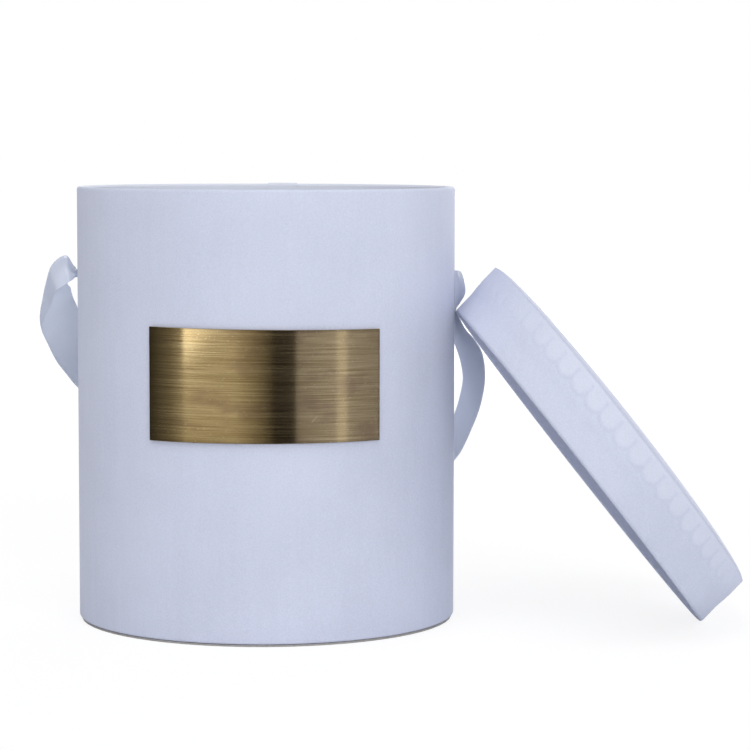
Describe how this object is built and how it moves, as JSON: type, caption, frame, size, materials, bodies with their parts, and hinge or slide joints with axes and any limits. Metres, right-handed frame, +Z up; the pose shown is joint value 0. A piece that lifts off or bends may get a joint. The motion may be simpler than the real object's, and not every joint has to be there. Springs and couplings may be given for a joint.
{
  "type": "flower gift box",
  "caption": "Round velvet-covered flower box with a brass front plate and a satin ribbon handle, its domed slip lid leaning against the side.",
  "frame": {"origin": "centre of the box's base, on the surface that it stands on", "axes": "+Z up along the box's axis, +X towards the leaning lid, -Y the front with the brass plate"},
  "size_m": [0.3715, 0.2268, 0.229],
  "materials": {
    "velvet_paper": "fine matt lilac velvet on paper",
    "greyboard": "bare greyboard",
    "lining_paper": "smooth pale lining paper",
    "brass": "horizontally brushed, antique",
    "adhesive_film": "thin double-sided film",
    "satin": "lilac satin",
    "foam": "soft white sheet padding"
  },
  "bodies": {
    "box_body": {"body_tube": "greyboard", "body_wrap": "velvet_paper", "body_lining": "lining_paper", "base_board": "greyboard", "base_floor_paper": "lining_paper", "base_cover": "greyboard", "plate_adhesive": "adhesive_film", "brass_plate": "brass"},
    "handle": {"ribbon_handle": "satin", "knot_left": "satin", "knot_right": "satin"},
    "lid": {"lid_ring": "greyboard", "lid_top_board": "greyboard", "lid_pad": "foam", "lid_top_cover": "velvet_paper", "lid_side_wrap": "velvet_paper", "lid_lining_ring": "lining_paper", "lid_lining_disc": "lining_paper"}
  },
  "joints": [
    {"name": "lid_lift", "type": "slide", "parent": "box_body", "child": "lid", "axis": [0.7867, 0.008, 0.6173], "range_m": [0, 0.1]},
    {"name": "handle_swing", "type": "hinge", "parent": "box_body", "child": "handle", "pos_m": [0, 0, 0.183], "axis": [1, 0, 0], "range_deg": [0, 140], "deforming": ["ribbon_handle"]}
  ]
}
